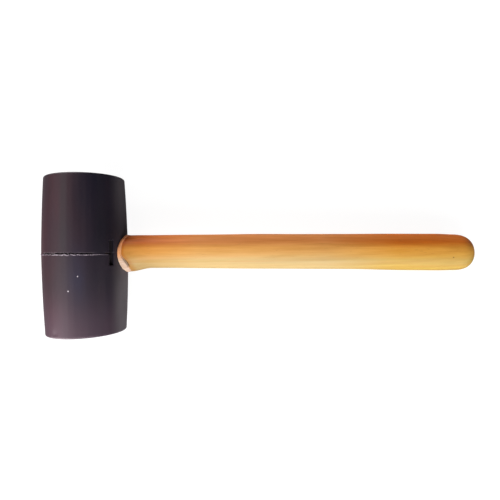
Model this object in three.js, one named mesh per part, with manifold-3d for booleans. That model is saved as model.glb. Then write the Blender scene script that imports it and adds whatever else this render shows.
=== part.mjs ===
// A rubber mallet: a moulded black rubber head on a turned wooden handle. The handle's tenon goes right
// through the head, and a wooden wedge and a steel wedge spread it from the far side.
// Millimetres, +Z up. The mallet lies on its side: the head's belly and the grip rest on z = 0, the head's
// own axis runs along Y, the handle points along +X, and the origin is under the middle of the mallet.
import * as THREE from "three";
import { mergeVertices } from "three/addons/utils/BufferGeometryUtils.js";
import Module from "manifold-3d";

const wasm = await Module();
wasm.setup();

// Everything below is drawn about the head's centre, with the handle level along +X. The finished group is
// then turned about the head's axis until the grip touches down.

// Head: a barrel, widest at the parting line of its two-part mould.
const HEAD_LENGTH = 114.5;
const BELLY_RADIUS = 30;
const RIM_RADIUS = 28.1;
const BARREL_POWER = 1.66; // how late the side turns in towards the rim
const RIM_ROUND = 1.4;

// Handle: its axis passes the head's centre on one side, crosses the parting plane and bows a little.
const AXIS_OFFSET = 2.4; // along Y, carried back to the head's axis
const AXIS_SKEW = -0.0085;
const AXIS_BOW = -0.000027;
const HANDLE_END = 298;
const DOME_LENGTH = 16;
const DOME_POWER = 2.9;
const DOME_RADIUS = 14.15;
const GRIP = [[90, 12.9], [124, 13.3], [165, 13.5], [202, 13.75], [222, 14.1], [258, 14.4], [274, 14.4]];

// Shoulder: the handle flares towards the head and ends in a lip that is scribed to the head's side.
const LIP_RADIUS = 14.5;
const LIP_WIDTH = 2.7;
const LIP_START = 22;
const LIP_END = 36;
const SHOULDER_RADIUS = 13.7;
const FLARE_START = 33;
const FLARE_END = 49;
const NECK_RADIUS = 12.45;
const LIP_OFFSET = 0.8; // along Y: the tenon and the lip sit nearer the parting plane than the neck

// Tenon: tapers towards the far side and stops under the head's surface there.
const TENON_END = -28;
const TENON_ROOT = 40;
const TENON_END_RADIUS = 10.2;
const TENON_ROOT_RADIUS = 11.6;
const TENON_CHAMFER = 0.8;
const SOCKET_RELIEF = 3; // the socket's cutter runs this far past the head on both sides

// Wedges, both driven in from the tenon's end.
const WOOD_WEDGE = { length: 30, thick: 4.2, tip: 1.2, width: 2 * TENON_ROOT_RADIUS };
const STEEL_WEDGE = { length: 17, thick: 2.4, tip: 0.6, width: 13 };

// Witness marks that the mould's core plate leaves beside the socket.
const MARK = { aside: 37.1, length: 17.8, width: 2.8, depth: 0.9, offset: 1.3 }; // aside in degrees

const GAP = 0.3; // clearance between neighbouring pieces
const HEAD_SEGMENTS = 64;
const HANDLE_SEGMENTS = 40;
const SIDE_STEPS = 7;
const RIM_STEPS = 3;
const FLARE_STEPS = 6;
const DOME_STEPS = 8;

const rubber = new THREE.MeshStandardMaterial({ color: 0x4a3d44, roughness: 0.62, metalness: 0 });
const lacqueredWood = new THREE.MeshStandardMaterial({ color: 0xdfa566, roughness: 0.32, metalness: 0 });
const wedgeWood = new THREE.MeshStandardMaterial({ color: 0xcbb083, roughness: 0.7, metalness: 0 });
const steel = new THREE.MeshStandardMaterial({ color: 0x8d8d8b, roughness: 0.4, metalness: 1 });

const ease = (t) => t * t * (3 - 2 * t);
const clamp01 = (t) => Math.min(1, Math.max(0, t));

// A closed geometry as a manifold-3d solid: only positions are kept, so that shared corners merge.
function solidOf(geometry) {
  const bare = geometry.clone();
  bare.deleteAttribute("normal");
  bare.deleteAttribute("uv");
  const merged = mergeVertices(bare, 1e-4);
  const corners = merged.index.array;
  const triVerts = [];
  for (let i = 0; i < corners.length; i += 3) {
    const [a, b, c] = [corners[i], corners[i + 1], corners[i + 2]];
    if (a !== b && b !== c && c !== a) triVerts.push(a, b, c);
  }
  const vertProperties = new Float32Array(merged.attributes.position.array);
  return new wasm.Manifold(
    new wasm.Mesh({ numProp: 3, vertProperties, triVerts: new Uint32Array(triVerts) }),
  );
}

// A solid as a named three.js mesh.
function pieceOf(name, solid, material) {
  const { vertProperties, triVerts } = solid.getMesh();
  const geometry = new THREE.BufferGeometry()
    .setAttribute("position", new THREE.BufferAttribute(vertProperties, 3))
    .setIndex(new THREE.BufferAttribute(triVerts, 1));
  geometry.computeVertexNormals();
  const mesh = new THREE.Mesh(geometry, material);
  mesh.name = name;
  return mesh;
}

// A solid of revolution about X, from [x, radius] pairs in order of x, each ring shifted by offset(x)
// along Y. The first and last pairs close it on its axis.
function turned(profile, offset) {
  const points = profile.map(([x, radius]) => new THREE.Vector2(radius, x));
  const geometry = new THREE.LatheGeometry(points, HANDLE_SEGMENTS).rotateZ(-Math.PI / 2);
  const position = geometry.attributes.position;
  for (let i = 0; i < position.count; i++) {
    position.setY(i, position.getY(i) + offset(position.getX(i)));
  }
  return solidOf(geometry);
}

// The barrel's radius at a distance y from the parting plane.
const barrelRadius = (y) =>
  BELLY_RADIUS - (BELLY_RADIUS - RIM_RADIUS) * (Math.abs(y) / (HEAD_LENGTH / 2)) ** BARREL_POWER;

// The head's outside, grown by extra all round the side. Turning it by lean puts a corner of its facets
// at the very bottom once the whole mallet has turned the other way.
function barrel(lean, extra = 0) {
  const half = HEAD_LENGTH / 2;
  const sideEnd = half - RIM_ROUND;
  const rimCentre = barrelRadius(sideEnd) - RIM_ROUND + extra;
  const upper = [];
  for (let i = 0; i <= SIDE_STEPS; i++) {
    const y = (sideEnd * i) / SIDE_STEPS;
    upper.push([barrelRadius(y) + extra, y]);
  }
  for (let i = 1; i <= RIM_STEPS; i++) {
    const turn = (i / RIM_STEPS) * (Math.PI / 2);
    upper.push([rimCentre + RIM_ROUND * Math.cos(turn), sideEnd + RIM_ROUND * Math.sin(turn)]);
  }
  upper.push([0, half]);
  const lower = upper.slice(1).reverse().map(([radius, y]) => [radius, -y]);
  const points = [...lower, ...upper].map(([radius, y]) => new THREE.Vector2(radius, y));
  return solidOf(new THREE.LatheGeometry(points, HEAD_SEGMENTS).rotateY(-lean));
}

// The tenon between two ends along X, or the socket that it fills when it is grown by a gap.
function tenon(from, to, { grown = 0, chamfer = 0 } = {}) {
  const taper = (TENON_ROOT_RADIUS - TENON_END_RADIUS) / (TENON_ROOT - TENON_END);
  const radius = (x) => TENON_END_RADIUS + taper * (x - TENON_END) + grown;
  const profile = [[from, 0], [from, radius(from) - chamfer]];
  if (chamfer) profile.push([from + chamfer, radius(from + chamfer)]);
  profile.push([to, radius(to)], [to, 0]);
  return turned(profile, () => LIP_OFFSET);
}

// The handle's outline outside the head: shoulder, flare, neck, grip and rounded end.
function handleProfile() {
  const profile = [[LIP_START, 0], [LIP_START, SHOULDER_RADIUS]];
  for (let i = 0; i <= FLARE_STEPS; i++) {
    const t = i / FLARE_STEPS;
    const radius = SHOULDER_RADIUS + (NECK_RADIUS - SHOULDER_RADIUS) * ease(t);
    profile.push([FLARE_START + (FLARE_END - FLARE_START) * t, radius]);
  }
  profile.push(...GRIP);
  const domeStart = HANDLE_END - DOME_LENGTH;
  for (let i = 0; i < DOME_STEPS; i++) {
    const t = Math.sin((i / DOME_STEPS) * (Math.PI / 2));
    const radius = DOME_RADIUS * (1 - t ** DOME_POWER) ** (1 / DOME_POWER);
    profile.push([domeStart + DOME_LENGTH * t, radius]);
  }
  profile.push([HANDLE_END, 0]);
  return profile;
}

// How far the handle's axis lies from the parting plane at x: on its own curve from the neck onwards,
// and easing to the lip's centre at the head.
function handleOffset(x) {
  const curve = AXIS_OFFSET + AXIS_SKEW * x + AXIS_BOW * x * x;
  const share = ease(clamp01((x - FLARE_START) / (FLARE_END - FLARE_START)));
  return LIP_OFFSET + (curve - LIP_OFFSET) * share;
}

// The raised band round the handle next to the head: as wide all round as LIP_WIDTH.
function lip(lean) {
  const band = [[LIP_START, 0], [LIP_START, LIP_RADIUS], [LIP_END, LIP_RADIUS], [LIP_END, 0]];
  return turned(band, () => LIP_OFFSET).intersect(barrel(lean, GAP + LIP_WIDTH));
}

// The angle by which the handle drops when the belly and the grip both touch the surface.
function leanOf(profile) {
  const beyondHead = profile.filter(([x, radius]) => x > FLARE_START && radius > 0);
  const angles = beyondHead.map(
    ([x, radius]) => Math.asin(BELLY_RADIUS / Math.hypot(x, radius)) - Math.atan2(radius, x),
  );
  return Math.min(...angles);
}

// A wedge driven in along +X from the tenon's end. Its width runs along Y, or along Z when it crosses.
function wedge({ length, thick, tip, width }, { crossing = false, grown = 0 } = {}) {
  const outline = new THREE.Shape([
    new THREE.Vector2(-2 * grown, thick / 2 + grown),
    new THREE.Vector2(-2 * grown, -thick / 2 - grown),
    new THREE.Vector2(length + grown, -tip / 2 - grown),
    new THREE.Vector2(length + grown, tip / 2 + grown),
  ]);
  const depth = width + 2 * grown;
  const geometry = new THREE.ExtrudeGeometry(outline, { depth, bevelEnabled: false });
  geometry.translate(TENON_END, 0, -depth / 2);
  if (!crossing) geometry.rotateX(Math.PI / 2);
  return solidOf(geometry.translate(0, LIP_OFFSET, 0));
}

// The cutter for the shallow mark beside the socket, above the handle or below it.
function witnessMark(side) {
  const geometry = new THREE.BoxGeometry(2 * MARK.depth, MARK.length, MARK.width)
    .translate(BELLY_RADIUS, MARK.offset, 0)
    .rotateY(side * THREE.MathUtils.degToRad(MARK.aside));
  return solidOf(geometry);
}

const profile = handleProfile();
const lean = leanOf(profile);

const socketReach = BELLY_RADIUS + SOCKET_RELIEF;
const head = barrel(lean)
  .subtract(tenon(-socketReach, socketReach, { grown: GAP }))
  .subtract(witnessMark(1))
  .subtract(witnessMark(-1));

const peg = tenon(TENON_END, TENON_ROOT, { chamfer: TENON_CHAMFER });
const steelSlot = wedge(STEEL_WEDGE, { crossing: true, grown: GAP });
const handle = turned(profile, handleOffset)
  .add(lip(lean))
  .subtract(barrel(lean, GAP))
  .add(peg)
  .subtract(wedge(WOOD_WEDGE, { grown: GAP }))
  .subtract(steelSlot);
const woodWedge = wedge(WOOD_WEDGE).intersect(peg).subtract(steelSlot);
const steelWedge = wedge(STEEL_WEDGE, { crossing: true });

const mallet = new THREE.Group();
mallet.add(
  pieceOf("rubber_head", head, rubber),
  pieceOf("handle", handle, lacqueredWood),
  pieceOf("wood_wedge", woodWedge, wedgeWood),
  pieceOf("steel_wedge", steelWedge, steel),
);

// Lay it down, and bring the origin under its middle.
mallet.rotation.y = lean;
mallet.updateMatrixWorld(true);
const box = new THREE.Box3().setFromObject(mallet, true);
const middle = box.getCenter(new THREE.Vector3());
mallet.position.set(-middle.x, -middle.y, -box.min.z);

export default mallet;
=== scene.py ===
import math

import bmesh
import bpy
import numpy as np
from mathutils import Euler, Matrix, Vector


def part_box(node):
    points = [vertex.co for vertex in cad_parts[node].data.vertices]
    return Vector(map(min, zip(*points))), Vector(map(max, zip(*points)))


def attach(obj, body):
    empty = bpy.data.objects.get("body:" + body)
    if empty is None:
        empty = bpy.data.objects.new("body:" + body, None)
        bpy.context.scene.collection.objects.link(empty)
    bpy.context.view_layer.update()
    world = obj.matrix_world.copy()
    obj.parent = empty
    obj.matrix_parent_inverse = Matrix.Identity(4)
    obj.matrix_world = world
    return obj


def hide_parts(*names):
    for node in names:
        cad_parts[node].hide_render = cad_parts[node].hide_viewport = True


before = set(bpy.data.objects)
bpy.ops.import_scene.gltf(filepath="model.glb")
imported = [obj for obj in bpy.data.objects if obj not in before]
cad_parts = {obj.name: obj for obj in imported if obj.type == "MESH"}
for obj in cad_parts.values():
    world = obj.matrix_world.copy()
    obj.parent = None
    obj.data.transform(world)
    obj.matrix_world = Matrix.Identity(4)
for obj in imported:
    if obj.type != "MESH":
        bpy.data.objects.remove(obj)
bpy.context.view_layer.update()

MM = 0.001

# Sizes read from the frame.
head_low, head_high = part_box("rubber_head")
HEAD_CENTRE = (head_low + head_high) / 2
HEAD_LENGTH = (head_high.y - head_low.y) / MM
BELLY_RADIUS = (head_high.z - head_low.z) / 2 / MM
handle_corners = [v.co - HEAD_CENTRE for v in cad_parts["handle"].data.vertices]
TIP = max(handle_corners, key=lambda corner: math.hypot(corner.x, corner.z))
HANDLE_END = math.hypot(TIP.x, TIP.z) / MM
LEAN = math.atan2(-TIP.z, TIP.x)

# Head.
RIM_RADIUS = 28.1
BARREL_POWER = 1.66
RIM_ROUND = 1.4
HEAD_SKEW = 0.009  # the moulding is this much out of square with the handle

# Handle.
AXIS_OFFSET = 2.4
AXIS_SKEW = -0.0085
AXIS_BOW = -0.000027
DOME_LENGTH = 16
DOME_POWER = 2.9
DOME_RADIUS = 14.15
GRIP = [(49, 12.45), (90, 12.9), (124, 13.3), (165, 13.5), (202, 13.75), (222, 14.1), (258, 14.4),
        (274, 14.4), (HANDLE_END - DOME_LENGTH, DOME_RADIUS)]

# Shoulder, tenon and wedges.
LIP_RADIUS = 14.5
SHOULDER_RADIUS = 13.7
FLARE_START = 33
FLARE_END = 49
NECK_RADIUS = 12.45
LIP_OFFSET = 0.8
TENON_END = -28
TENON_ROOT = 40
TENON_END_RADIUS = 10.2
TENON_ROOT_RADIUS = 11.6
TENON_CHAMFER = 0.8
WOOD_WEDGE = {"length": 30, "thick": 4.2, "tip": 1.2}
STEEL_WEDGE = {"length": 17, "thick": 2.4, "tip": 0.6, "width": 13}
GAP = 0.3

# Moulding marks on the rubber.
MARK = {"aside": math.radians(37.1), "length": 17.8, "width": 2.9, "depth": 2.2, "offset": 1.3, "wall": 0.5}
SEAM_HEIGHT = 0.5
SEAM_TILT = 0.019
SEAM_WAVER = 0.2
FLASH_HEIGHT = 0.34
FLASH_WIDTH = 0.36
CREASE_DEPTH = 0.9
CREASE_ASIDE = 2.5 * FLASH_WIDTH  # from the flash to the middle of the fold beside it
CREASE_EDGE = 0.9 * FLASH_WIDTH  # how gradually its side slopes
CREASE_REACH = 2.1  # its half width, counted in edges
SOCKET_ROUND = 0.7
SOCKET_CLEAR = 0.5  # the skin is cut away this far outside the socket's rounded mouth
# Nicks as (degrees round the head from the handle, distance from the parting plane, radius, depth).
NICKS = [(31, 53.5, 1.8, 0.25), (47, 54.6, 1.2, 0.2), (118, -54.2, 2.2, 0.3), (205, 54.4, 2.6, 0.35),
         (262, -53.8, 1.6, 0.25), (300, 54.8, 2, 0.3), (170, 21, 1.3, 0.12), (235, -30, 1.8, 0.15)]
DENTS = {"count": 26, "reach": 25, "sizes": (1.2, 4.5), "depths": (0.04, 0.16)}

# Where marks and colours set in on the head, as (none, full) in degrees from the handle, either way round.
FLASH_ROUND = (38, 52)
CREASE_ROUND = (30, 38)
# the rubber turns browner and redder between these angles from the handle
BROWNER_ROUND = (55, 120)
# dust with painted light: paler towards the handle, where the rim catches the light
DUST_AND_LIGHT_ROUND = (42, 12)
# painted shade: the side near the handle is darkened between these angles, where the light falls least
PAINTED_SHADE_ROUND = (66, 52)
DEEP_CREASE = (58, 70, 110, 122)  # sets in over the first two and ends over the last two
# The same along the head, in millimetres from the parting plane.
# dust with painted light, stronger towards the -Y end, where the light comes from
DUST_AND_LIGHT_ALONG = (5, -25)
# painted light: the rubber is lighter and pinker towards the -Y end, where the light comes from
PAINTED_LIGHT_ALONG = (-15, -57)
GREY_ALONG = (-12, 12)
# Patches of colour, a patch of painted shade and greyer bands along the barrel, as (middle, width) and a
# band's strength.
PAINTED_SHADE_ALONG = (17, 17)
BLUE_ROUND = (82, 12)
BLUE_ALONG = (-15, 17)
GREY_BANDS = [(100, 5, 0.35), (50, 7, 0.12), (160, 8, 0.3)]
PAINTED_DEPTH = 2.6  # rubber further inside than this is left unmarked
SKEW_CLEAR = (13, 19)  # the skew sets in between these distances from the socket's axis

# The band of bare wood next to the head.
LIP_EDGE = 0.8
LIP_WIDTH = 2.2
LIP_EVEN = 0.3  # share of its height that the lip has all round; the rest is above and below only
CHIP_WIDTH = 2.7
CRACK_DEPTH = 0.7
# Stretches round the handle, in degrees from +Y: set in over the first two and end over the last two.
CHIP = (84, 126, 152, 178)
OPEN_CRACK = (90, 116, 126, 140)
RAW_WOOD = (90, 114, 164, 188)
WIDE_POOL = (84, 114, 152, 178)

INNERMOST = 0.8  # radius of the last ring before an end is closed by a fan
LAY_DOWN = Matrix.Translation(HEAD_CENTRE) @ Matrix.Rotation(LEAN, 4, "Y") @ Matrix.Scale(MM, 4)


def ease(t):
    """0 up to t = 0 and 1 from t = 1, with a smooth step between."""
    t = np.clip(t, 0, 1)
    return t * t * (3 - 2 * t)


def ramp(values, none, full):
    """0 at none and beyond, 1 at full and beyond, with a smooth step between. Either may be the larger."""
    return ease((values - none) / (full - none))


def stretch(values, start, full, fading, end):
    """1 from full to fading, and 0 before start and after end."""
    return ramp(values, start, full) * ramp(values, end, fading)


def patch(values, middle, width):
    """1 at the middle, fading softly to almost 0 two widths away."""
    return np.exp(-(((values - middle) / width) ** 2))


def wander(values, seed, lowest, highest):
    """Smooth noise along values, mostly between -1 and 1. Whole frequencies, so it closes round a circle."""
    waves = 7
    draw = np.random.default_rng(seed)
    frequencies = draw.integers(lowest, highest, waves)
    phases = draw.uniform(0, 2 * math.pi, waves)
    total = sum(np.sin(f * values + p) for f, p in zip(frequencies, phases))
    return total / math.sqrt(waves)


# ---- The camera ----

CAMERA_ALONG = 123.13  # from the head's axis, along the handle
CAMERA_ASIDE = 1.97
CAMERA_HEIGHT = 294.4  # above the head's axis
CAMERA_ROLL = -0.015
LENS = 28.18
SENSOR_WIDTH = 36
NEAREST_SEEN = 10


def make_camera():
    data = bpy.data.cameras.new("camera")
    data.lens = LENS
    data.sensor_width = SENSOR_WIDTH
    data.clip_start = NEAREST_SEEN * MM
    camera = bpy.data.objects.new("camera", data)
    camera.location = HEAD_CENTRE + Vector((CAMERA_ALONG, CAMERA_ASIDE, CAMERA_HEIGHT)) * MM
    camera.rotation_euler = (0, 0, CAMERA_ROLL)
    bpy.context.scene.collection.objects.link(camera)
    bpy.context.scene.camera = camera


# ---- Mesh helpers ----


def ring_faces(rows, columns):
    """Quads between neighbouring rings of a grid whose columns close on themselves."""
    row = np.arange(rows - 1)[:, None] * columns
    here = np.arange(columns)[None, :]
    after = (here + 1) % columns
    quads = np.stack([row + here, row + after, row + columns + after, row + columns + here], axis=-1)
    return quads.reshape(-1, 4).tolist()


def capped_grid(points):
    """A closed bmesh from rings of points, each end closed by a fan round its middle."""
    rows, columns = points.shape[:2]
    ends = [points[0].mean(axis=0), points[-1].mean(axis=0)]
    corners = np.concatenate([points.reshape(-1, 3), ends])
    start_pole, end_pole = rows * columns, rows * columns + 1
    last_row = (rows - 1) * columns
    faces = ring_faces(rows, columns)
    for here in range(columns):
        after = (here + 1) % columns
        faces.append([start_pole, after, here])
        faces.append([end_pole, last_row + here, last_row + after])
    mesh = bpy.data.meshes.new("scratch")
    mesh.from_pydata(corners.tolist(), [], faces)
    bm = bmesh.new()
    bm.from_mesh(mesh)
    bpy.data.meshes.remove(mesh)
    return bm


def corners_of(mesh):
    """A mesh's vertices as an array of x, y, z."""
    corners = np.empty(len(mesh.vertices) * 3)
    mesh.vertices.foreach_get("co", corners)
    return corners.reshape(-1, 3)


def paint(mesh, name, values):
    """Keeps one number for each vertex, for the materials to read."""
    attribute = mesh.attributes.new(name, "FLOAT", "POINT")
    attribute.data.foreach_set("value", values.astype(np.float32))


def piece_from(bm, name):
    """A linked object from a bmesh, still in millimetres, with its faces pointing out."""
    bmesh.ops.recalc_face_normals(bm, faces=bm.faces)
    mesh = bpy.data.meshes.new(name)
    bm.to_mesh(mesh)
    bm.free()
    piece = bpy.data.objects.new(name, mesh)
    bpy.context.scene.collection.objects.link(piece)
    return piece


def cut(piece, cutter):
    """Takes the cutter away from the piece, and removes the cutter."""
    modifier = piece.modifiers.new("cut", "BOOLEAN")
    modifier.operation = "DIFFERENCE"
    modifier.solver = "EXACT"
    modifier.object = cutter
    view = bpy.context.evaluated_depsgraph_get()
    mesh = bpy.data.meshes.new_from_object(piece.evaluated_get(view))
    piece.modifiers.clear()
    old = piece.data
    piece.data = mesh
    bpy.data.meshes.remove(old)
    mesh.name = piece.name
    bpy.data.objects.remove(cutter)


def lay_down(piece, node, material, sharp_degrees):
    """Puts a finished piece into the frame in place of its CAD node."""
    mesh = piece.data
    mesh.transform(LAY_DOWN)
    mesh.shade_smooth()
    mesh.set_sharp_from_angle(angle=math.radians(sharp_degrees))
    mesh.materials.clear()
    mesh.materials.append(material)
    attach(piece, "root")
    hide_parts(node)


# ---- The rubber head ----


def barrel_radius(y):
    drop = BELLY_RADIUS - RIM_RADIUS
    return BELLY_RADIUS - drop * (np.abs(y) / (HEAD_LENGTH / 2)) ** BARREL_POWER


def tenon_radius(x):
    taper = (TENON_ROOT_RADIUS - TENON_END_RADIUS) / (TENON_ROOT - TENON_END)
    return TENON_END_RADIUS + taper * (x - TENON_END)


def signed(theta):
    """Angles between -pi and pi, 0 at the handle."""
    return (theta + math.pi) % (2 * math.pi) - math.pi


def from_handle(theta):
    """Degrees round the head from the handle, either way."""
    return np.degrees(np.abs(signed(theta)))


def seam_offset(theta):
    """How far the flash lies from the head's middle: a little high, tilted and uneven."""
    uneven = SEAM_WAVER * wander(theta, seed=11, lowest=7, highest=60)
    return SEAM_HEIGHT - SEAM_TILT * BELLY_RADIUS * np.cos(theta) + uneven


def flash_mask(theta, y):
    """The torn rubber edge left where the mould's halves met. It fades out beside the socket."""
    width = FLASH_WIDTH * np.clip(1 + 0.45 * wander(theta, seed=14, lowest=3, highest=12), 0.5, 1.6)
    profile = np.clip(1 - np.abs(y - seam_offset(theta)) / width, 0, 1) ** 0.7
    torn = np.clip(0.72 + 0.55 * wander(theta, seed=12, lowest=20, highest=140), 0.05, 1.15)
    return profile * torn * ramp(from_handle(theta), *FLASH_ROUND)


def crease_mask(theta, y):
    """A ragged fold along one side of the flash: deep at the head's sides, here and there elsewhere."""
    wavy = 0.16 * wander(theta, seed=15, lowest=20, highest=90)
    middle = seam_offset(theta) + CREASE_ASIDE + wavy
    profile = ease(CREASE_REACH - np.abs(y - middle) / CREASE_EDGE)
    turn = from_handle(theta)
    broken = ease(0.4 + 1.1 * wander(theta, seed=13, lowest=4, highest=14))
    present = np.maximum(broken, 0.9 * stretch(turn, *DEEP_CREASE))
    ragged = np.clip(0.85 + 0.5 * wander(theta, seed=16, lowest=15, highest=90), 0.15, 1)
    return profile * present * ragged * ramp(turn, *CREASE_ROUND)


def mark_mask(theta, y):
    """The straight grooves that the mould's core plate leaves above and below the handle."""
    across = (np.abs(signed(theta)) - MARK["aside"]) * BELLY_RADIUS
    inside = np.minimum(MARK["width"] / 2 - np.abs(across), MARK["length"] / 2 - np.abs(y - MARK["offset"]))
    return ease(inside / MARK["wall"] + 0.5)


def skin_offset(theta, y):
    """Everything that lifts or sinks the head's side from a plain barrel."""
    swelling = 0.05 * wander(theta, seed=1, lowest=2, highest=8)
    rippling = 0.015 * wander(theta, seed=2, lowest=18, highest=50)
    lengthwise = 0.03 * wander(y / 30, seed=3, lowest=1, highest=6)
    offset = swelling + rippling + lengthwise
    for degrees, middle, radius, depth in NICKS:
        around = signed(theta - math.radians(degrees)) * BELLY_RADIUS
        offset = offset - depth * np.exp(-(around**2 + (y - middle) ** 2) / radius**2)
    offset = offset + FLASH_HEIGHT * flash_mask(theta, y) - CREASE_DEPTH * crease_mask(theta, y)
    return offset - MARK["depth"] * mark_mask(theta, y)


def spaced(values, least):
    """The values in order, without those closer than the least step to the one before."""
    values = np.sort(np.concatenate(values))
    return values[np.append(True, np.diff(values) > least)]


def head_columns():
    """Angles round the head, closer together at the grooves beside the handle."""
    even = np.radians(np.arange(0, 360, 1.0))
    reach = 1.3
    fine = MARK["aside"] + np.linspace(-reach, reach, 27) / BELLY_RADIUS
    return spaced([even, fine, 2 * math.pi - fine], 1e-4)


def side_rows():
    """Distances from the parting plane, closer together at the seam and at the grooves' ends."""
    end = HEAD_LENGTH / 2 - RIM_ROUND
    even = np.linspace(-end, end, 105)
    seam = np.arange(-1.4, 2.5, 0.09)
    groove_ends = [MARK["offset"] + s * MARK["length"] / 2 for s in (-1, 1)]
    return spaced([even, seam] + [g + np.linspace(-0.4, 0.4, 7) for g in groove_ends], 0.03)


def face_dents(radius, theta):
    """Shallow dents that blows have left in a striking face."""
    draw = np.random.default_rng(21)
    x, z = radius * np.cos(theta), radius * np.sin(theta)
    depth = np.zeros(np.broadcast(radius, theta).shape)
    for _ in range(DENTS["count"]):
        turn = draw.uniform(0, 2 * math.pi)
        reach = DENTS["reach"] * math.sqrt(draw.uniform(0, 1))
        size = draw.uniform(*DENTS["sizes"])
        deep = draw.uniform(*DENTS["depths"])
        squared = (x - reach * math.cos(turn)) ** 2 + (z - reach * math.sin(turn)) ** 2
        depth = depth + deep * np.exp(-squared / size**2)
    return depth


def head_end(side, theta):
    """Rings from the side's last row over the rim and in to the middle of one striking face."""
    end = HEAD_LENGTH / 2 - RIM_ROUND
    centre = barrel_radius(end) - RIM_ROUND
    rings = []
    for turn in np.linspace(0, math.pi / 2, 10)[1:]:
        radius = centre + RIM_ROUND * math.cos(turn) + skin_offset(theta, side * end) * math.cos(turn)
        y = np.full_like(theta, side * (end + RIM_ROUND * math.sin(turn)))
        rings.append([radius * np.cos(theta), y, radius * np.sin(theta)])
    for radius in np.linspace(centre, INNERMOST, 30)[1:]:
        inward = face_dents(radius, theta + side) * ramp(radius, centre, centre - 3)
        y = side * (HEAD_LENGTH / 2 - inward)
        rings.append([radius * np.cos(theta), y, radius * np.sin(theta)])
    return rings


def head_grid():
    theta = head_columns()
    side = []
    for y in side_rows():
        radius = barrel_radius(y) + skin_offset(theta, y)
        side.append([radius * np.cos(theta), np.full_like(theta, y), radius * np.sin(theta)])
    rings = head_end(-1, theta)[::-1] + side + head_end(1, theta)
    return np.array(rings).transpose(0, 2, 1)


def socket_mouth(side, phi):
    """Rings from the head's skin over a rounded edge into the socket, on the handle's side or the far one."""
    radius_in = tenon_radius(side * BELLY_RADIUS) + GAP
    rings = []
    for turn in np.linspace(0, math.pi / 2, 7):
        radius = radius_in + SOCKET_ROUND * (1 - math.sin(turn))
        y, z = LIP_OFFSET + radius * np.cos(phi), radius * np.sin(phi)
        skin = barrel_radius(y)
        for _ in range(2):
            theta = np.arctan2(z, side * np.sqrt(skin**2 - z**2))
            skin = barrel_radius(y) + skin_offset(theta, y)
        x = side * (np.sqrt(skin**2 - z**2) - SOCKET_ROUND * (1 - math.cos(turn)))
        rings.append([x, y, z])
    return rings


def socket_grid(columns=128):
    """Rings through the tapered socket, from its mouth at the handle to the one on the far side."""
    phi = np.linspace(0, 2 * math.pi, columns, endpoint=False)
    near = socket_mouth(1, phi)
    far = socket_mouth(-1, phi)[::-1]
    wall = []
    for share in np.linspace(0, 1, 12)[1:-1]:
        wall.append([a + (b - a) * share for a, b in zip(near[-1], far[0])])
    return np.array(near + wall + far).transpose(0, 2, 1)


def open_socket(bm):
    """Cuts away the head's skin at both mouths of the socket and joins the socket's rings to it."""
    rings = socket_grid()
    for side in (1, -1):
        clear = tenon_radius(side * BELLY_RADIUS) + GAP + SOCKET_ROUND + SOCKET_CLEAR
        inside = [v for v in bm.verts
                  if v.co.x * side > 0 and math.hypot(v.co.y - LIP_OFFSET, v.co.z) < clear]
        bmesh.ops.delete(bm, geom=inside, context="VERTS")
    openings = [e for e in bm.edges if e.is_boundary]
    rows, columns = rings.shape[:2]
    corners = [bm.verts.new(p) for p in rings.reshape(-1, 3)]
    for quad in ring_faces(rows, columns):
        bm.faces.new([corners[i] for i in quad])
    for side, first in ((1, 0), (-1, (rows - 1) * columns)):
        ends = corners[first:first + columns]
        ring = [bm.edges.get((ends[i], ends[(i + 1) % columns])) for i in range(columns)]
        edge = [e for e in openings if e.verts[0].co.x * side > 0]
        bmesh.ops.bridge_loops(bm, edges=edge + ring)
    bmesh.ops.triangulate(bm, faces=[f for f in bm.faces if len(f.verts) > 4])


def paint_head(mesh):
    """Marks where the head's skin is torn and sunk, where dust and painted light lie on it, where painted
    shade goes and how much browner it is, for the rubber's material.
    """
    x, y, z = corners_of(mesh).T
    theta = np.arctan2(z, x)
    turn = from_handle(theta)
    outside = np.hypot(x, z) > barrel_radius(y) - PAINTED_DEPTH
    greyed = sum(strength * patch(turn, middle, width) for middle, width, strength in GREY_BANDS)
    marks = {
        "flash": flash_mask(theta, y),
        # grooves and fold, darkened in the colour as painted shade
        "shaded_hollow": np.maximum(mark_mask(theta, y), crease_mask(theta, y)),
        # dust, partly painted light
        "dust_and_painted_light": ramp(turn, *DUST_AND_LIGHT_ROUND) * (0.45 + 0.55 * ramp(y, *DUST_AND_LIGHT_ALONG)),
        # painted light towards the -Y end
        "painted_light": ramp(y, *PAINTED_LIGHT_ALONG),
        "grey": greyed * (0.25 + 0.75 * ramp(y, *GREY_ALONG)),
        # painted shade on the upper side near the handle
        "painted_shade": ramp(turn, *PAINTED_SHADE_ROUND) * patch(y, *PAINTED_SHADE_ALONG),
        "blue": patch(turn, *BLUE_ROUND) * patch(y, *BLUE_ALONG),
    }
    for name, values in marks.items():
        paint(mesh, name, values * outside)
    # browner and redder away from the handle
    paint(mesh, "browner_away", np.where(outside, ramp(turn, *BROWNER_ROUND), 0.5))


def skew_head(mesh):
    """Turns the moulding slightly out of square with the handle, and leaves the socket as it is."""
    corners = corners_of(mesh)
    from_socket = np.hypot(corners[:, 1] - LIP_OFFSET, corners[:, 2])
    corners[:, 1] += HEAD_SKEW * corners[:, 0] * ramp(from_socket, *SKEW_CLEAR)
    mesh.vertices.foreach_set("co", corners.ravel())


def make_head():
    bm = capped_grid(head_grid())
    open_socket(bm)
    head = piece_from(bm, "mallet_head")
    paint_head(head.data)
    skew_head(head.data)
    lay_down(head, "rubber_head", rubber_material(), sharp_degrees=50)


# ---- The handle ----


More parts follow.
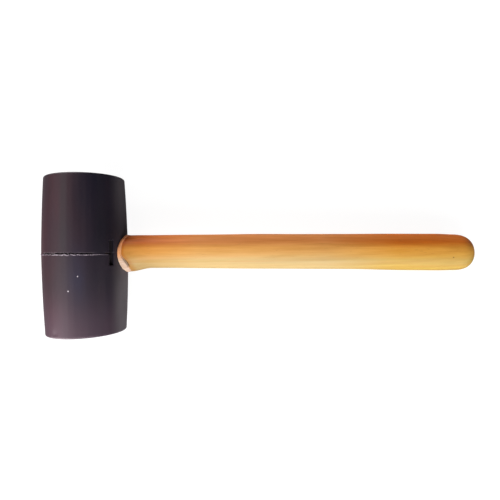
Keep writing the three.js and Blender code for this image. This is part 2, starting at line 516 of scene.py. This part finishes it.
def smooth_curve(points, x):
    """A smooth line through [x, value] points, at each x."""
    at, value = np.array(points, float).T
    slope = np.gradient(value, at)
    i = np.clip(np.searchsorted(at, x) - 1, 0, len(at) - 2)
    width = at[i + 1] - at[i]
    t = (x - at[i]) / width
    return (
        (1 + 2 * t) * (1 - t) ** 2 * value[i] + t * (1 - t) ** 2 * width * slope[i]
        + t * t * (3 - 2 * t) * value[i + 1] - t * t * (1 - t) * width * slope[i + 1]
    )


def handle_offset(x):
    """How far the handle's axis lies from the parting plane at x."""
    curve = AXIS_OFFSET + AXIS_SKEW * x + AXIS_BOW * x * x
    return LIP_OFFSET + (curve - LIP_OFFSET) * ramp(x, FLARE_START, FLARE_END)


def body_radius(x):
    """The handle's radius between the lip and the rounded end."""
    flare = SHOULDER_RADIUS + (NECK_RADIUS - SHOULDER_RADIUS) * ramp(x, FLARE_START, FLARE_END)
    return np.where(x < FLARE_END, flare, smooth_curve(GRIP, np.maximum(x, FLARE_END)))


def saddle(phi, radius):
    """Where a line along the handle at this angle and radius meets the head's side, less the gap."""
    y, z = LIP_OFFSET + radius * np.cos(phi), radius * np.sin(phi)
    return np.sqrt((barrel_radius(y) + GAP) ** 2 - z**2)


def round_handle(phi):
    """Degrees round the handle from +Y, from 0 to 360."""
    return np.degrees(phi) % 360


def lip_width(phi):
    """Width of the band next to the head. A chip of lacquer is gone from its upper side, towards -Y."""
    chipped = stretch(round_handle(phi), *CHIP)
    return LIP_WIDTH + CHIP_WIDTH * chipped + 0.13 * wander(phi, seed=31, lowest=3, highest=11)


def crack_mask(phi, along):
    """The line between the band and the lacquered flare: closed, apart from one open stretch."""
    opened = stretch(round_handle(phi), *OPEN_CRACK)
    middle = lip_width(phi) + 0.1 + 0.35 * opened
    half_width = 0.25 + 0.6 * opened
    profile = np.clip(1 - np.abs(along - middle) / half_width, 0, 1) ** 0.6
    return profile * (0.2 + 0.8 * opened)


def lip_height(phi, along):
    """How far the lip stands above the shoulder: rounded next to the head, then a band, then the crack."""
    into = np.clip(1 - along / LIP_EDGE, 0, 1)
    rounded = LIP_EDGE * (1 - np.sqrt(1 - into**2))
    band = ease((lip_width(phi) - along) / 1.1 + 0.5)
    standing = LIP_EVEN + (1 - LIP_EVEN) * ramp(np.abs(np.sin(phi)), 0.35, 0.75)
    raised = (LIP_RADIUS - SHOULDER_RADIUS) * band * standing
    return raised - rounded * standing - CRACK_DEPTH * crack_mask(phi, along)


def handle_grid(columns=224):
    """Rings from the tenon's end over its side, the lip, the flare and the grip to the rounded end."""
    phi = np.linspace(0, 2 * math.pi, columns, endpoint=False)
    ones = np.ones(columns)
    rings = []

    def add(x, radius):
        x, radius = x * ones, radius * ones
        y = handle_offset(x) + radius * np.cos(phi)
        rings.append([x, y, radius * np.sin(phi)])

    # The tenon: its flat end, its chamfer and its side, and then the shoulder that faces the head.
    flat = tenon_radius(TENON_END) - TENON_CHAMFER
    for radius in np.linspace(INNERMOST, flat, 8):
        add(TENON_END, radius)
    for share in np.linspace(0, 1, 4)[1:]:
        x = TENON_END + TENON_CHAMFER * share
        add(x, flat + (tenon_radius(x) - flat) * share)
    start = TENON_END + TENON_CHAMFER
    root = tenon_radius(BELLY_RADIUS)
    for share in np.linspace(0, 1, 24)[1:]:
        x = start + (saddle(phi, root) - start) * share
        add(x, tenon_radius(x))
    lip = LIP_RADIUS - LIP_EDGE
    for share in np.linspace(0, 1, 6)[1:-1]:
        radius = root + (lip - root) * share
        add(saddle(phi, radius), radius)

    # The band, the crack and the flare, with close rings as far as they need them.
    edge = saddle(phi, LIP_RADIUS)
    fine = 7.4
    for along in np.arange(0, fine, 0.14):
        x = edge + along
        add(x, body_radius(x) + lip_height(phi, along))
    for share in np.linspace(0, 1, 24):
        x = edge + fine + (FLARE_END - edge - fine) * share
        add(x, body_radius(x))

    # The grip, with faint tool marks between its ends, and its rounded end.
    dome_start = HANDLE_END - DOME_LENGTH
    marked = (FLARE_END, FLARE_END + 20, dome_start - 20, dome_start)
    for x in np.linspace(FLARE_END, dome_start, 110)[1:-1]:
        around = 0.05 * wander(phi + x / 60, seed=41, lowest=2, highest=6)
        lengthwise = 0.05 * wander(ones * x / 25, seed=42, lowest=1, highest=5)
        add(x, body_radius(x) + (around + lengthwise) * stretch(x, *marked))
    for t in np.sin(np.linspace(0, math.pi / 2, 34)[:-1]):
        add(dome_start + DOME_LENGTH * t, DOME_RADIUS * (1 - t**DOME_POWER) ** (1 / DOME_POWER))
    return np.array(rings).transpose(0, 2, 1)


def prism(name, length, thick, tip, width, grown, crossing=False):
    """A plain wedge along +X from just outside the tenon's end, grown by a gap, as a cutter."""
    bm = bmesh.new()
    corners = []
    outside = 2 * grown + 1
    for x, half in ((-outside, thick / 2 + grown), (length + grown, tip / 2 + grown)):
        for across, flat in ((1, 1), (-1, 1), (-1, -1), (1, -1)):
            y, z = across * (width / 2 + grown), flat * half
            if crossing:
                y, z = z, y
            corners.append(bm.verts.new((TENON_END + x, y + LIP_OFFSET, z)))
    for face in ((0, 1, 2, 3), (4, 5, 6, 7), (0, 1, 5, 4), (1, 2, 6, 5), (2, 3, 7, 6), (3, 0, 4, 7)):
        bm.faces.new([corners[i] for i in face])
    return piece_from(bm, name)


def steel_slot():
    return prism("steel_slot", **STEEL_WEDGE, crossing=True, grown=GAP)


def paint_handle(mesh):
    """Marks the band next to the head, its raw wood, the crack and the pooled lacquer beyond it."""
    x, y, z = corners_of(mesh).T
    phi = np.arctan2(z, y - LIP_OFFSET)
    radius = np.minimum(np.hypot(y - LIP_OFFSET, z), LIP_RADIUS)
    along = x - saddle(phi, radius)
    turn = round_handle(phi)
    band = ease((lip_width(phi) - along) / 0.5 + 0.5)
    wide = stretch(turn, *WIDE_POOL)
    reach = lip_width(phi) + 2.6 + 3 * wide
    pooled = ease((reach - along) / (1.8 + 2 * wide))
    paint(mesh, "band", band)
    paint(mesh, "raw", band * (0.2 + 0.8 * stretch(turn, *RAW_WOOD)))
    paint(mesh, "crack", crack_mask(phi, along))
    paint(mesh, "pooled", pooled * (1 - band))


def make_handle():
    handle = piece_from(capped_grid(handle_grid()), "mallet_handle")
    cut(handle, prism("kerf", **WOOD_WEDGE, width=2 * TENON_ROOT_RADIUS, grown=GAP))
    cut(handle, steel_slot())
    paint_handle(handle.data)
    lay_down(handle, "handle", handle_material(), sharp_degrees=40)


# ---- The wedges ----


def wedge_grid(length, thick, tip, width_at, crossing, rough, head_spread=0.0, rows=40, corner=0.25):
    """Rings of a rounded rectangle that thins from the struck end to the tip."""
    edge = np.linspace(-1, 1, 12)
    outline = [(u, 1) for u in edge] + [(1, -v) for v in edge[1:]]
    outline += [(-u, -1) for u in edge[1:]] + [(-1, v) for v in edge[1:-1]]
    u, v = np.array(outline, float).T
    at_corner = np.abs(u * v) > 0.8
    rings = []
    for share in np.linspace(0, 1, rows) ** 1.5:
        x = TENON_END + length * share
        spread = 1 + head_spread * ramp(share, 0.06, 0)
        tuck = corner * ramp(share, 0.02, 0)
        half_thick = (thick + (tip - thick) * share) / 2 * spread - tuck
        half_wide = width_at(x) * spread - tuck
        pinch = np.where(at_corner, 1 - corner / half_wide, 1)
        wide = u * half_wide * pinch + rough * wander(v * 3 + share * 9, seed=51, lowest=1, highest=6)
        uneven = 1 + rough * wander(u * 3 + share * 7, seed=52, lowest=1, highest=6)
        deep = v * half_thick * uneven
        y, z = (deep, wide) if crossing else (wide, deep)
        rings.append([np.full_like(u, x), y + LIP_OFFSET, z])
    return np.array(rings).transpose(0, 2, 1)


def make_wood_wedge():
    half = WOOD_WEDGE["thick"] / 2
    short = 0.15  # its sides stay this far inside the tenon

    def width_at(x):
        return math.sqrt(tenon_radius(x) ** 2 - half**2) - short

    grid = wedge_grid(**WOOD_WEDGE, width_at=width_at, crossing=False, rough=0.03)
    wedge = piece_from(capped_grid(grid), "kerf_wedge")
    cut(wedge, steel_slot())
    lay_down(wedge, "wood_wedge", wedge_material(), sharp_degrees=35)


def make_steel_wedge():
    size = {key: STEEL_WEDGE[key] for key in ("length", "thick", "tip")}
    half = STEEL_WEDGE["width"] / 2
    grid = wedge_grid(**size, width_at=lambda x: half, crossing=True, head_spread=0.08, rough=0.02)
    wedge = piece_from(capped_grid(grid), "cross_wedge")
    lay_down(wedge, "steel_wedge", steel_material(), sharp_degrees=35)


# ---- Materials ----


def srgb(red, green, blue):
    """A shader colour from its everyday 0 to 255 numbers."""
    def linear(level):
        level /= 255
        return level / 12.92 if level <= 0.04045 else ((level + 0.055) / 1.055) ** 2.4
    return (linear(red), linear(green), linear(blue), 1)


class Graph:
    """A material's node tree. Nodes take numbers, colours or other nodes' outputs as their inputs."""

    def __init__(self, name):
        self.material = bpy.data.materials.new(name)
        self.material.use_nodes = True
        self.tree = self.material.node_tree
        self.tree.nodes.clear()

    def add(self, kind, inputs, **settings):
        node = self.tree.nodes.new("ShaderNode" + kind)
        for key, value in settings.items():
            setattr(node, key, value)
        for key, value in inputs.items():
            if isinstance(value, bpy.types.NodeSocket):
                self.tree.links.new(value, node.inputs[key])
            else:
                node.inputs[key].default_value = value
        return node

    def position(self):
        return self.add("TexCoord", {}).outputs["Object"]

    def placed(self, location=(0, 0, 0), rotation=(0, 0, 0), scale=(1, 1, 1)):
        """The object's own coordinates, moved, turned and scaled."""
        inputs = {"Vector": self.position(), "Location": location, "Rotation": rotation, "Scale": scale}
        return self.add("Mapping", inputs).outputs["Vector"]

    def noise(self, vector, scale, detail=3, roughness=0.5):
        inputs = {"Vector": vector, "Scale": scale, "Detail": detail, "Roughness": roughness}
        return self.add("TexNoise", inputs).outputs["Fac"]

    def attribute(self, name):
        return self.add("Attribute", {}, attribute_name=name).outputs["Fac"]

    def math(self, operation, a, b=0.0, c=0.0):
        return self.add("Math", {0: a, 1: b, 2: c}, operation=operation).outputs[0]

    def remap(self, value, low, high, to_low=0.0, to_high=1.0):
        inputs = {"Value": value, "From Min": low, "From Max": high, "To Min": to_low, "To Max": to_high}
        return self.add("MapRange", inputs).outputs["Result"]

    def growth_rings(self, vector, scale, distortion, detail_scale):
        """Wood's growth rings, as a wave between 0 and 1 round the line along X."""
        inputs = {"Vector": vector, "Scale": scale, "Distortion": distortion, "Detail": 3,
                  "Detail Scale": detail_scale}
        wave = self.add("TexWave", inputs, wave_type="RINGS", rings_direction="X")
        return wave.outputs["Fac"]

    def blend(self, share, a, b, mode="MIX"):
        """Colour a turning into colour b as share goes from 0 to 1."""
        node = self.add("Mix", {0: share, 6: a, 7: b}, data_type="RGBA", blend_type=mode)
        return node.outputs[2]

    def layered(self, colour, layers, mode="MIX"):
        """The colour under others laid over it in turn, as (share, colour)."""
        for share, layer in layers:
            colour = self.blend(share, colour, layer, mode)
        return colour

    def bump(self, height, distance, strength=1.0):
        inputs = {"Height": height, "Distance": distance, "Strength": strength}
        return self.add("Bump", inputs).outputs["Normal"]

    def finish(self, **inputs):
        named = {key.replace("_", " "): value for key, value in inputs.items()}
        shader = self.add("BsdfPrincipled", named)
        self.add("OutputMaterial", {"Surface": shader.outputs["BSDF"]})
        return self.material


# Pale crumbs stuck to the rubber, as (degrees round the head from the handle, distance along it, radius).
CRUMBS = [(81.6, -14.2, 0.36), (93.9, -24.2, 0.56), (97.6, -26.3, 0.28), (214, 17, 0.4), (250, -31, 0.5)]


def crumb_mask(graph):
    """1 on the pale crumbs and 0 elsewhere."""
    total = 0.0
    for degrees, y, radius in CRUMBS:
        theta = math.radians(degrees)
        place = LAY_DOWN @ Vector((BELLY_RADIUS * math.cos(theta), y, BELLY_RADIUS * math.sin(theta)))
        apart = graph.add("VectorMath", {0: graph.position(), 1: place}, operation="DISTANCE")
        near = graph.remap(apart.outputs["Value"], radius * MM * 1.3, radius * MM * 0.7)
        total = graph.math("MAXIMUM", total, near)
    return total


def rubber_colour(graph, streaks, clouds):
    """Purple-black by the handle and browner away from it, under painted light towards -Y, dust mixed with
    painted light, painted shade and what the mould left, its hollows darkened with painted shade.
    """
    hue = graph.noise(graph.placed(location=(0.3, 0, 0), scale=(1, 0.4, 1)), 40, detail=2)
    hue = graph.remap(hue, 0.38, 0.62)
    near = graph.blend(hue, srgb(0, 2, 22), srgb(7, 1, 18))
    far = graph.blend(hue, srgb(28, 6, 14), srgb(40, 7, 15))
    plain = graph.blend(graph.attribute("browner_away"), near, far)

    # painted shade: darkens the colour and thins the dust layer there
    painted_shade = graph.attribute("painted_shade")
    bluish = graph.math("MULTIPLY", graph.attribute("blue"), graph.remap(clouds, 0.35, 0.6, 0.2, 0.7))
    dusty_and_lit = graph.math("MULTIPLY", graph.attribute("dust_and_painted_light"), graph.remap(clouds, 0.3, 0.7, 0.75, 1.1))
    dusty_and_lit = graph.math("MULTIPLY", dusty_and_lit, graph.remap(painted_shade, 0, 1, 1, 0.45))
    return graph.layered(plain, [
        # painted light towards the -Y end
        (graph.math("MULTIPLY", graph.attribute("painted_light"), 0.5), srgb(58, 32, 48)),
        (graph.remap(clouds, 0.45, 0.75, 0, 0.35), srgb(27, 12, 25)),
        (graph.remap(streaks, 0.48, 0.75, 0, 0.35), srgb(31, 20, 28)),
        (graph.attribute("grey"), srgb(24, 30, 30)),
        (bluish, srgb(12, 18, 44)),
        # painted shade
        (graph.math("MULTIPLY", painted_shade, 0.85), srgb(0, 0, 14)),
        # pale dust, partly painted light by the handle and towards -Y
        (dusty_and_lit, srgb(86, 82, 86)),
        # painted shade in the grooves and in the fold beside the flash
        (graph.attribute("shaded_hollow"), srgb(6, 3, 6)),
        (graph.attribute("flash"), srgb(128, 116, 126)),
        (crumb_mask(graph), srgb(205, 196, 202)),
    ])


def rubber_material():
    graph = Graph("moulded_rubber")
    streaks = graph.noise(graph.placed(scale=(1, 0.06, 1)), 190, detail=4, roughness=0.6)
    clouds = graph.noise(graph.placed(scale=(1, 0.45, 1)), 48, detail=3)
    grain = graph.noise(graph.position(), 2600, detail=2)
    uneven = graph.math("MULTIPLY_ADD", streaks, 0.5, 0.5)
    roughness = graph.remap(uneven, 0.2, 0.8, 0.42, 0.56)
    height = graph.math("MULTIPLY_ADD", streaks, 3.0, grain)
    return graph.finish(
        Base_Color=rubber_colour(graph, streaks, clouds),
        Roughness=graph.math("MAXIMUM", roughness, graph.attribute("shaded_hollow")),
        Normal=graph.bump(height, 0.00003),
        Specular_IOR_Level=0.5,
        Specular_Tint=(1, 0.87, 0.94, 1),
        Sheen_Weight=0.04,
        Sheen_Roughness=0.35,
        Sheen_Tint=(1, 0.92, 0.98, 1),
    )


def wood_vectors(graph, pith=(0, 0.05, 0.035)):
    """Coordinates along the grain: one for the growth rings, and two stretched ones for fibres and pores."""
    turn = (0, -LEAN, 0)
    return (
        graph.placed(location=pith, rotation=turn, scale=(0.12, 1, 1)),
        graph.placed(rotation=turn, scale=(0.03, 1, 1)),
        graph.placed(rotation=turn, scale=(0.07, 1, 1)),
    )


# Dark flecks in the handle's upper side, as (along it, aside from its axis, length, width, strength).
FLECKS = [(276.7, -4.0, 1.3, 0.9, 0.9), (247.5, 1.6, 3.0, 0.35, 0.35), (251.5, 0.6, 3.4, 0.3, 0.4),
          (254.5, -0.4, 2.4, 0.3, 0.3), (139.0, -3.2, 3.0, 0.3, 0.2), (188.0, 3.6, 4.0, 0.3, 0.2)]


def fleck_mask(graph):
    """Up to 1 on the pin knot and the short dark marks, and 0 elsewhere."""
    total = 0.0
    for along, aside, length, width, strength in FLECKS:
        radius = float(body_radius(np.array(along)))
        height = math.sqrt(radius**2 - aside**2)
        place = LAY_DOWN @ Vector((along, float(handle_offset(along)) + aside, height))
        scale = Vector((2 / length, 2 / width, 2 / length)) / MM
        spread = graph.placed(location=-place * scale, scale=scale)
        apart = graph.add("VectorMath", {0: spread}, operation="LENGTH").outputs["Value"]
        total = graph.math("MAXIMUM", total, graph.remap(apart, 1.25, 0.6, 0, strength))
    return total


# Where the handle's colours set in, as (none, full) in metres: along it from the head's axis, and across it
# from its own axis towards +Y.
# Near the head the handle is darker and more orange: partly stain, partly painted shade cast by the head.
ORANGE_BY_HEAD = (0.085, 0.045)
ORANGE_BY_END = (0.18, 0.235)
HEARTWOOD = (0.0012, 0.0055)
# Towards -Y the wood is greyer: painted reflection of the light from below.
PAINTED_REFLECTION_SIDE = (0.001, -0.0075)
# One brown grain line, this far from the axis towards -Y where the grain wanders least and most.
GRAIN_LINE = (0.0084, 0.0092)


def handle_places(graph):
    """How far across the handle a point is, and how near the head and the rounded end, from 0 to 1."""
    axis_y = HEAD_CENTRE.y + AXIS_OFFSET * MM
    centred = graph.placed(location=(-HEAD_CENTRE.x, -axis_y, 0), rotation=(0, 0, -AXIS_SKEW))
    split = graph.add("SeparateXYZ", {"Vector": centred}).outputs
    by_head = graph.remap(split["X"], *ORANGE_BY_HEAD)
    by_end = graph.remap(split["X"], *ORANGE_BY_END)
    return split["Y"], by_head, by_end


def lacquered_colour(graph, heart, painted_reflection, fibres, by_head, by_end):
    """Heartwood, golden wood and greyer wood side by side, under lacquer more orange towards both ends. The
    greyer wood is painted reflection of the light from below; by the head the orange is partly painted shade.
    """
    fibre = graph.remap(fibres, 0.35, 0.7)
    golden = graph.blend(fibre, srgb(199, 140, 71), srgb(216, 158, 89))
    # the wood towards -Y, greyer and less orange: painted reflection of the light from below
    light = graph.blend(fibre, srgb(147, 123, 73), srgb(163, 139, 89))
    red = graph.blend(fibre, srgb(196, 119, 57), srgb(218, 139, 77))
    wood = graph.blend(heart, graph.blend(painted_reflection, golden, light), red)
    deep = graph.math("MULTIPLY", graph.math("MAXIMUM", by_head, by_end), heart)
    return graph.layered(wood, [
        # towards the head partly stain, partly painted shade cast by the head, here and in the deeper orange
        # below
        (by_head, srgb(251, 235, 203)),
        (by_end, srgb(255, 247, 190)),
        (deep, srgb(255, 220, 165)),
    ], "MULTIPLY")


def grain_line(graph, colour, across, broad, fibres, by_end):
    """One brown grain line along the grip, with paler wood beyond it. Both fade towards the end."""
    past_line = graph.math("ADD", across, graph.remap(broad, 0.3, 0.7, *GRAIN_LINE))
    fading = graph.remap(by_end, 0, 0.8, 1, 0)
    strip = graph.math("MULTIPLY", graph.remap(past_line, -0.0001, -0.0005, 0, 0.5), fading)
    line = graph.remap(graph.math("ABSOLUTE", past_line), 0.0004, 0.0001, 0, 0.45)
    line = graph.math("MULTIPLY", graph.math("MULTIPLY", line, fading), graph.remap(fibres, 0.45, 0.6))
    return graph.layered(colour, [(strip, srgb(154, 134, 96)), (line, srgb(140, 92, 50))])


def band_colour(graph, colour, heart, fine, raw):
    """The wood next to the head: pooled lacquer, thinly coated wood, raw wood and the dark crack."""
    fine_grain = graph.remap(fine, 0.35, 0.7)
    coated = graph.blend(fine_grain, srgb(240, 165, 108), srgb(228, 150, 92))
    coated = graph.blend(heart, coated, srgb(246, 148, 82))
    bare = graph.blend(fine_grain, srgb(192, 168, 150), srgb(174, 144, 122))
    colour = graph.blend(graph.attribute("pooled"), colour, srgb(248, 222, 192), "MULTIPLY")
    return graph.layered(colour, [
        (graph.attribute("band"), coated),
        (raw, bare),
        (graph.attribute("crack"), srgb(46, 38, 12)),
    ])


def handle_material():
    graph = Graph("lacquered_hardwood")
    ring_vector, long_vector, pore_vector = wood_vectors(graph)
    fibres = graph.noise(long_vector, 420, detail=4, roughness=0.65)
    fine = graph.noise(long_vector, 1500, detail=3, roughness=0.6)
    broad = graph.noise(long_vector, 60, detail=2)
    pores = graph.remap(graph.noise(pore_vector, 1900, detail=2), 0.66, 0.74)
    rings = graph.growth_rings(ring_vector, 60, 1.2, 1.5)
    across, by_head, by_end = handle_places(graph)

    # The heartwood, towards +Y, and the greyer wood towards -Y, which is painted reflection of the light from
    # below, have wavy edges that move over near the end.
    wavy = graph.math("ADD", across, graph.remap(broad, 0.3, 0.7, -0.0008, 0.0008))
    wavy = graph.math("MULTIPLY_ADD", by_end, 0.0016, wavy)
    heart = graph.remap(wavy, *HEARTWOOD)
    painted_reflection = graph.remap(wavy, *PAINTED_REFLECTION_SIDE)
    colour = lacquered_colour(graph, heart, painted_reflection, fibres, by_head, by_end)
    colour = graph.layered(colour, [
        (graph.remap(rings, 0.2, 0.95, 0, 0.1), srgb(150, 92, 40)),
        (graph.remap(fine, 0.45, 0.75, 0, 0.15), srgb(190, 122, 66)),
        (graph.math("MULTIPLY", pores, 0.3), srgb(120, 70, 36)),
        (fleck_mask(graph), srgb(70, 44, 20)),
    ])
    colour = grain_line(graph, colour, across, broad, fibres, by_end)
    raw = graph.attribute("raw")
    return graph.finish(
        Base_Color=band_colour(graph, colour, heart, fine, raw),
        Roughness=graph.remap(raw, 0, 1, 0.5, 0.8),
        Normal=graph.bump(graph.math("MULTIPLY_ADD", fibres, 0.5, fine), 0.00004, 0.6),
        Specular_IOR_Level=0.15,
        Coat_Weight=graph.remap(raw, 0, 1, 0.12, 0),
        Coat_Roughness=0.3,
        Coat_IOR=1.4,
    )


def wedge_material():
    graph = Graph("sawn_hardwood")
    ring_vector, long_vector, _ = wood_vectors(graph, pith=(0, 0.02, 0.06))
    fine = graph.noise(long_vector, 1300, detail=3, roughness=0.6)
    rings = graph.growth_rings(ring_vector, 95, 2.2, 1.2)
    sawn = graph.blend(rings, srgb(216, 184, 140), srgb(176, 134, 88))
    colour = graph.blend(graph.remap(fine, 0.4, 0.7, 0, 0.5), sawn, srgb(150, 108, 68))
    return graph.finish(Base_Color=colour, Roughness=0.78, Normal=graph.bump(fine, 0.0001))


def steel_material():
    graph = Graph("dull_steel")
    scratches = graph.noise(graph.placed(scale=(0.08, 1, 1)), 2200, detail=3)
    stain = graph.noise(graph.position(), 420, detail=4)
    colour = graph.blend(graph.remap(stain, 0.5, 0.72), srgb(150, 149, 146), srgb(104, 86, 72))
    roughness = graph.remap(graph.math("ADD", scratches, stain), 0.7, 1.3, 0.28, 0.6)
    return graph.finish(
        Base_Color=colour,
        Metallic=1.0,
        Roughness=roughness,
        Normal=graph.bump(scratches, 0.00002),
    )


# ---- The studio ----


# Soft square lights round the mallet, as (degrees round it from the handle, degrees up, watts).
LIGHTS = [(225, 12, 8), (225, 40, 1.6), (180, 40, 1), (270, 40, 5), (290, 25, 1.5), (315, 12, 2),
          (120, 12, 5)]
LIGHT_DISTANCE = 700
LIGHT_SIZE = 380
LIT_MIDDLE = 90  # the lights aim this far along the handle from the head's axis
FLOOR_HALF = 3  # metres
FLOOR_DROP = 0.2
FLOOR_GLOW = 0.93
WORLD_SEEN = 0.95  # how bright the world is to the camera
WORLD_LIGHT = 0.03  # and to everything else
WHITE = (1, 1, 1, 1)


def make_light(azimuth, elevation, power):
    data = bpy.data.lights.new("softbox", "AREA")
    data.size = LIGHT_SIZE * MM
    data.energy = power
    light = bpy.data.objects.new("softbox", data)
    away = Vector((1, 0, 0))
    away.rotate(Euler((0, -math.radians(elevation), math.radians(azimuth))))
    light.location = HEAD_CENTRE + Vector((LIT_MIDDLE, 0, 0)) * MM + away * LIGHT_DISTANCE * MM
    light.rotation_euler = away.to_track_quat("Z", "Y").to_euler()
    bpy.context.scene.collection.objects.link(light)


def floor_material():
    graph = Graph("white_paper")
    fibre = graph.noise(graph.position(), 900, detail=2)
    paper = graph.blend(graph.remap(fibre, 0.3, 0.7), (0.09, 0.09, 0.09, 1), (0.11, 0.11, 0.11, 1))
    return graph.finish(Base_Color=paper, Roughness=0.9, Emission_Color=WHITE, Emission_Strength=FLOOR_GLOW)


def studio_world():
    """Pale behind the mallet, but almost no light of its own."""
    world = bpy.data.worlds.new("studio")
    world.use_nodes = True
    nodes, links = world.node_tree.nodes, world.node_tree.links
    nodes["Background"].inputs["Color"].default_value = WHITE
    seen = nodes.new("ShaderNodeLightPath").outputs["Is Camera Ray"]
    strength = nodes.new("ShaderNodeMapRange")
    strength.inputs["To Min"].default_value = WORLD_LIGHT
    strength.inputs["To Max"].default_value = WORLD_SEEN
    links.new(seen, strength.inputs["Value"])
    links.new(strength.outputs["Result"], nodes["Background"].inputs["Strength"])
    return world


def make_studio():
    bm = bmesh.new()
    bmesh.ops.create_grid(bm, x_segments=8, y_segments=8, size=FLOOR_HALF)
    mesh = bpy.data.meshes.new("floor")
    bm.to_mesh(mesh)
    bm.free()
    mesh.materials.append(floor_material())
    floor = bpy.data.objects.new("floor", mesh)
    floor.location.z = -FLOOR_DROP * MM
    floor.visible_glossy = False
    bpy.context.scene.collection.objects.link(floor)

    bpy.context.scene.world = studio_world()
    bpy.context.scene.view_settings.view_transform = "Standard"

    for light in LIGHTS:
        make_light(*light)


make_camera()
make_head()
make_handle()
make_wood_wedge()
make_steel_wedge()
make_studio()
